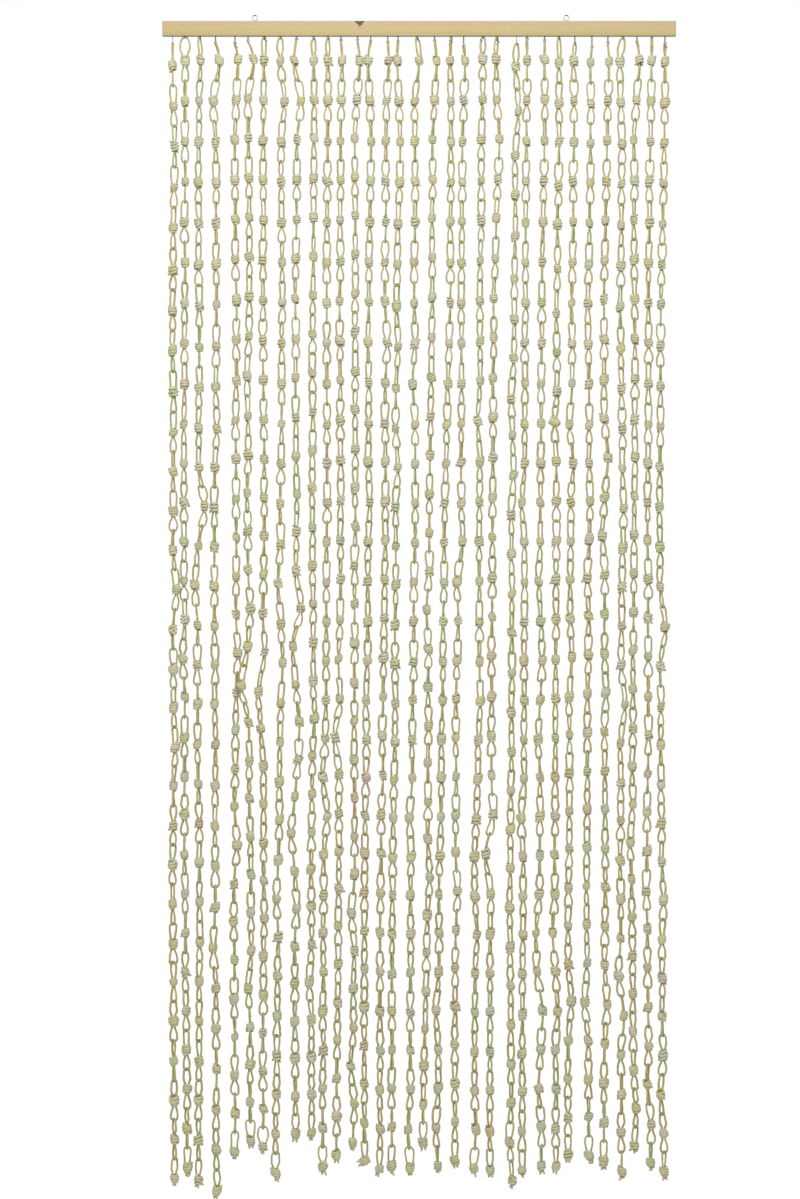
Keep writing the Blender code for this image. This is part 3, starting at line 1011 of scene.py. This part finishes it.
def hang(points, knotted, link, above, below, tilt, knot_size):
    """A tied link's points, bent to its place: loops reach to the joins, and the knot lies tilted."""
    height = np.abs(points[:, 2])
    upper = points[:, 2] > 0
    reach = np.where(upper, above.z - link.knot.z, link.knot.z - below.z)
    past_knot = np.maximum(height - KNOT_HEIGHT / 2, 0)
    stretch = (reach + CORD_THICKNESS / 2 - KNOT_HEIGHT / 2) / (BEND_FROM_KNOT - KNOT_HEIGHT / 2)
    height = np.minimum(height, KNOT_HEIGHT / 2) + past_knot * stretch
    to_above = np.array((above - link.knot)[:2])
    to_below = np.array((below - link.knot)[:2])
    twist = np.clip(points[:, 2] / KNOT_HEIGHT + 0.5, 0, 1)
    turn = np.radians(link.lower_turn + (link.upper_turn - link.lower_turn) * twist)
    placed = np.empty_like(points)
    placed[:, 0] = points[:, 0] * np.cos(turn) - points[:, 1] * np.sin(turn)
    placed[:, 1] = points[:, 0] * np.sin(turn) + points[:, 1] * np.cos(turn)
    share = (np.where(upper, height, -height) / reach)[:, None]
    placed[:, :2] += share * (to_above - to_below) / 2 + share**2 * (to_above + to_below) / 2
    placed[:, 2] = np.where(upper, height, -height)
    swing = math.radians(tilt) * knotted
    across = placed[:, 0] * np.cos(swing) + placed[:, 2] * np.sin(swing)
    placed[:, 2] = placed[:, 2] * np.cos(swing) - placed[:, 0] * np.sin(swing)
    placed[:, 0] = across
    placed *= (1 + (knot_size - 1) * np.broadcast_to(knotted, height.shape))[:, None]
    return placed + np.array(link.knot, np.float32)


hook_bends = []
first_lines = []
for number, chain in enumerate(CHAINS, start=1):
    links = links_of(number)
    chance = random.Random(HANGING_SEED + number)
    hook_bend = Vector(
        (BATTEN_LOW.x + chain.place * MM, 0, BATTEN_LOW.z - HOOK_GAP - chain.hook * MM)
    )
    hook_bends.append(hook_bend)
    joins = [hook_bend] + [(upper.knot + lower.knot) / 2 for upper, lower in zip(links, links[1:])]
    joins.append(2 * links[-1].knot - joins[-1])
    width = FIRST_LOOP_WIDTHS.get(number, FIRST_LOOP_WIDTH) * MM
    first_link = tie_link(FIRST_LINK_NUMBER + number, CORD_THICKNESS, upper=FIRST_OUTLINE, width=width)
    width = LAST_LOOP_WIDTHS.get(number, LAST_LOOP_WIDTH) * MM
    last_link = tie_link(LAST_LINK_NUMBER + number, CORD_THICKNESS, width=width, last=True)
    hung = []
    for link, above, below in zip(links, joins, joins[1:]):
        knot = len(hung) + 1
        heavier = (knot / LINKS + chance.gauss(0, PATTERN_SPREAD)) * TIED_LINKS
        pattern = tied_links[min(max(int(heavier), 0), TIED_LINKS - 1)]
        if knot in (1, LINKS):
            pattern = first_link if knot == 1 else last_link
        facing = np.array((-1, -1, 1) if chance.random() < 0.5 else (1, 1, 1), np.float32)
        tilt = KINKS[number].get(knot, 0) * TILT_A_MM_OF_KINK + chance.gauss(0, TILT_SPREAD)
        tilt = KNOT_TILTS.get(number, {}).get(knot, tilt)
        if knot == 1:
            first_lines.append(hang(pattern.upper_line * facing, 0, link, above, below, 0, 1))
        copy = pattern.cord.copy()
        copy.data = pattern.cord.data.copy()
        bpy.context.scene.collection.objects.link(copy)
        knot_size = chance.uniform(*KNOT_SIZES)
        points = hang(pattern.points * facing, pattern.knotted, link, above, below, tilt, knot_size)
        copy.data.vertices.foreach_set("co", points.ravel())
        for attribute, middle, spread in PAPER_DIFFERENCES:
            value = min(max(chance.gauss(middle, spread), 0), 1)
            values = np.full(len(points), value, np.float32)
            copy.data.attributes[attribute].data.foreach_set("value", values)
        hung.append(copy)
    bpy.data.objects.remove(first_link.cord, do_unlink=True)
    bpy.data.objects.remove(last_link.cord, do_unlink=True)
    select_only(*hung)
    bpy.ops.object.join()
    strand = bpy.context.object
    strand.name = f"paper_chain_{number:02d}"
    strand.data.update()
    strand.data.materials.append(paper)
    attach(strand, "root")
    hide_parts(f"strand_{number:02d}")

for pattern in tied_links:
    bpy.data.objects.remove(pattern.cord, do_unlink=True)

# The wire hooks
# Under the batten each chain hangs on its own bit of soft wire. The wire is bent round the first link,
# and its two legs are twisted together and pushed up into the wood. Two are long and plain, with one leg.

PILOT_HOLE_RADIUS = 1.5 * MM
PILOT_HOLE_DEPTH = 3 * MM
HOOK_WIRE = 1.25 * MM
HOOK_TWIST_PITCH = 5.5 * MM
HOOK_TWIST_RADIUS = 0.72 * MM
ROUND_CORD = (CORD_THICKNESS + HOOK_WIRE) / 2
HOOK_LEAST_TURNS = 0.5
HOOK_POINTS_A_TURN = 6
HOOK_SIDES_STEP = 1
HOOK_SMOOTHNESS = 2
PLAIN_HOOKS = (1, 23)
HOOK_BEND_STEPS = 6
TAIL_WIND = 7 * MM
TAIL_STEP = 1.2 * MM

# On some chains an end of the wire is wound down a leg of the loop, for this many millimetres
TAILS = {5: 12, 7: 9, 9: 6, 12: 5, 17: 8, 19: 14, 21: 10, 22: 14, 24: 5, 29: 6, 33: 12}


def wound_down(line, length):
    """A wire's way down one leg of the loop that has this centre line, from its bend."""
    leg = [Vector(spot) for spot in line[len(line) // 2 :: -1]]
    run = []
    gone = 0
    for start, end in zip(leg, leg[1:]):
        steps = max(round((end - start).length / TAIL_STEP), 1)
        for step in range(steps):
            spot = start.lerp(end, step / steps)
            distance = gone + (end - start).length * step / steps
            if distance > length:
                return run
            turn = math.tau * distance / TAIL_WIND - math.pi / 2
            run.append((spot + ROUND_CORD * Vector((math.cos(turn), math.sin(turn), 0)), 1))
        gone += (end - start).length
    return run


hook_runs = []
for number, (chain, bend) in enumerate(zip(CHAINS, hook_bends), start=1):
    plane = math.radians(chain.turn_1 + LINK_TURN)
    across = Vector((math.cos(plane), math.sin(plane), 0))
    cord_middle = bend + Vector((0, 0, CORD_THICKNESS / 2))
    drop = BATTEN_LOW.z + PILOT_HOLE_DEPTH / 2 - cord_middle.z - ROUND_CORD
    plain = number in PLAIN_HOOKS
    turns = 0 if plain else max(drop / HOOK_TWIST_PITCH, HOOK_LEAST_TURNS)
    steps = max(round(turns * HOOK_POINTS_A_TURN), 2)
    leg_radius = 0 if plain else HOOK_TWIST_RADIUS
    legs = []
    for phase in (0, math.pi):
        leg = []
        for step in range(steps + 1):
            share = step / steps
            turn = plane + phase + (1 - share) * turns * math.tau
            spot = Vector(
                (
                    bend.x + leg_radius * math.cos(turn),
                    bend.y + leg_radius * math.sin(turn),
                    cord_middle.z + ROUND_CORD + (1 - share) * drop,
                )
            )
            leg.append((spot, 1))
        legs.append(leg)
    rounding = []
    for step in range(1, HOOK_BEND_STEPS):
        turn = math.pi * step / HOOK_BEND_STEPS
        spot = cord_middle + ROUND_CORD * (across * math.cos(turn) - Vector((0, 0, math.sin(turn))))
        rounding.append((spot, 1))
    start = cord_middle + across * ROUND_CORD
    end = cord_middle - across * ROUND_CORD
    second_leg = [] if plain else legs[1][::-1]
    hook_runs.append(legs[0] + [(start, 1)] + rounding + [(end, 1)] + second_leg)
for number, length in TAILS.items():
    hook_runs.append(wound_down(first_lines[number - 1], length * MM))
hooks = wire_along("wire_hooks", hook_runs, HOOK_WIRE, HOOK_SIDES_STEP, HOOK_SMOOTHNESS)

# Soft annealed steel wire: dark grey with a brownish violet cast from the heat, and hardly any shine.
SCALE_PATCH = 2.5 * MM

dull_wire, tree, shader = new_material("annealed steel wire")
place = add_node(tree, "TexCoord", {}).outputs["Object"]
scale = add_node(tree, "TexNoise", {"Vector": place, "Scale": 1 / SCALE_PATCH, "Detail": 3.0})
scale_colour = add_node(
    tree,
    "ValToRGB",
    {"Fac": scale.outputs["Fac"]},
    stops=((0.3, "7C7676"), (0.7, "A09A9A")),
)
tree.links.new(scale_colour.outputs["Color"], shader.inputs["Base Color"])
shader.inputs["Metallic"].default_value = 0.8
shader.inputs["Roughness"].default_value = 0.5
hooks.data.materials.append(dull_wire)
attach(hooks, "root")

# The pilot holes in the batten are drilled now that the hooks have their places.
PILOT_HOLE_SIDES = 12

drills = []
for bend in hook_bends:
    bpy.ops.mesh.primitive_cylinder_add(
        vertices=PILOT_HOLE_SIDES,
        radius=PILOT_HOLE_RADIUS,
        depth=2 * PILOT_HOLE_DEPTH,
        location=(bend.x, 0, BATTEN_LOW.z),
    )
    drills.append(bpy.context.object)
select_only(*drills)
bpy.ops.object.join()
drilled = batten.modifiers.new("pilot holes", "BOOLEAN")
drilled.operation = "DIFFERENCE"
drilled.object = drills[0]
select_only(batten)
bpy.ops.object.modifier_apply(modifier=drilled.name)
bpy.data.objects.remove(drills[0], do_unlink=True)
bpy.ops.object.shade_smooth_by_angle(angle=math.radians(SMOOTH_UP_TO))
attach(batten, "root")
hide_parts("batten")

# The floor, the light and the camera
# A plain pale floor lies below the chains, and soft white light comes from all round, with a wide lamp
# high up in front. The camera looks straight ahead from 5 m away, at the middle of the picture.

FLOOR_BELOW = 0.14
FLOOR_WIDTH = 3.2
FLOOR_FRONT = 2.4
FLOOR_BACK = 0.6
FLOOR_FLECK = 1 / 3
WORLD_GLOW = 0.58
LAMP_SIZE = 1.2
LAMP_POWER = 52
LAMP_PLACE = Vector((-0.1, -2.4, 1.0))
LAMP_AIM = Vector((0, 0, -0.7))
CAMERA_DISTANCE = 5.0
SENSOR_WIDTH = 36
MM_A_PIXEL = 1.7534 * MM
PHOTO_WIDTH = 800
PHOTO_HEIGHT = 1199
EYES_MIDDLE_PIXEL = (410.6, 18.0)

floor_top = cad_bounds[0].z - FLOOR_BELOW
bpy.ops.mesh.primitive_plane_add(
    size=1, location=(0, (FLOOR_BACK - FLOOR_FRONT) / 2, floor_top)
)
floor = bpy.context.object
floor.name = "floor"
floor.scale = (FLOOR_WIDTH, FLOOR_FRONT + FLOOR_BACK, 1)
bpy.ops.object.transform_apply(location=True, rotation=True, scale=True)
pale, tree, shader = new_material("pale matt floor")
place = add_node(tree, "TexCoord", {}).outputs["Object"]
flecks = add_node(tree, "TexNoise", {"Vector": place, "Scale": 1 / FLOOR_FLECK, "Detail": 2.0})
fleck_colour = add_node(
    tree, "ValToRGB", {"Fac": flecks.outputs["Fac"]}, stops=((0.3, "F1F1EF"), (0.7, "F5F5F3"))
)
tree.links.new(fleck_colour.outputs["Color"], shader.inputs["Base Color"])
shader.inputs["Roughness"].default_value = 0.9
floor.data.materials.append(pale)

world = bpy.data.worlds.new("white studio")
world.use_nodes = True
world.node_tree.nodes["Background"].inputs["Color"].default_value = (1, 1, 1, 1)
seen = add_node(world.node_tree, "LightPath", {}).outputs["Is Camera Ray"]
glow = add_node(world.node_tree, "MapRange", {"Value": seen, "To Min": WORLD_GLOW, "To Max": 1.0})
world.node_tree.links.new(glow.outputs[0], world.node_tree.nodes["Background"].inputs["Strength"])
bpy.context.scene.world = world

middle = Vector(
    (
        (PHOTO_WIDTH / 2 - EYES_MIDDLE_PIXEL[0]) * MM_A_PIXEL,
        0,
        -(PHOTO_HEIGHT / 2 - EYES_MIDDLE_PIXEL[1]) * MM_A_PIXEL,
    )
)
lamp_data = bpy.data.lights.new("wide lamp", "AREA")
lamp_data.shape = "RECTANGLE"
lamp_data.size = LAMP_SIZE
lamp_data.size_y = LAMP_SIZE
lamp_data.energy = LAMP_POWER
lamp = bpy.data.objects.new("wide lamp", lamp_data)
lamp.location = LAMP_PLACE
lamp.rotation_euler = (LAMP_AIM - LAMP_PLACE).to_track_quat("-Z", "Y").to_euler()
bpy.context.scene.collection.objects.link(lamp)

camera_data = bpy.data.cameras.new("camera")
camera_data.sensor_width = SENSOR_WIDTH
camera_data.lens = SENSOR_WIDTH * CAMERA_DISTANCE / (PHOTO_HEIGHT * MM_A_PIXEL)
camera = bpy.data.objects.new("camera", camera_data)
camera.location = middle + Vector((0, -CAMERA_DISTANCE, 0))
camera.rotation_euler = (math.radians(90), 0, 0)
bpy.context.scene.collection.objects.link(camera)
bpy.context.scene.camera = camera
bpy.context.scene.view_settings.view_transform = "Standard"
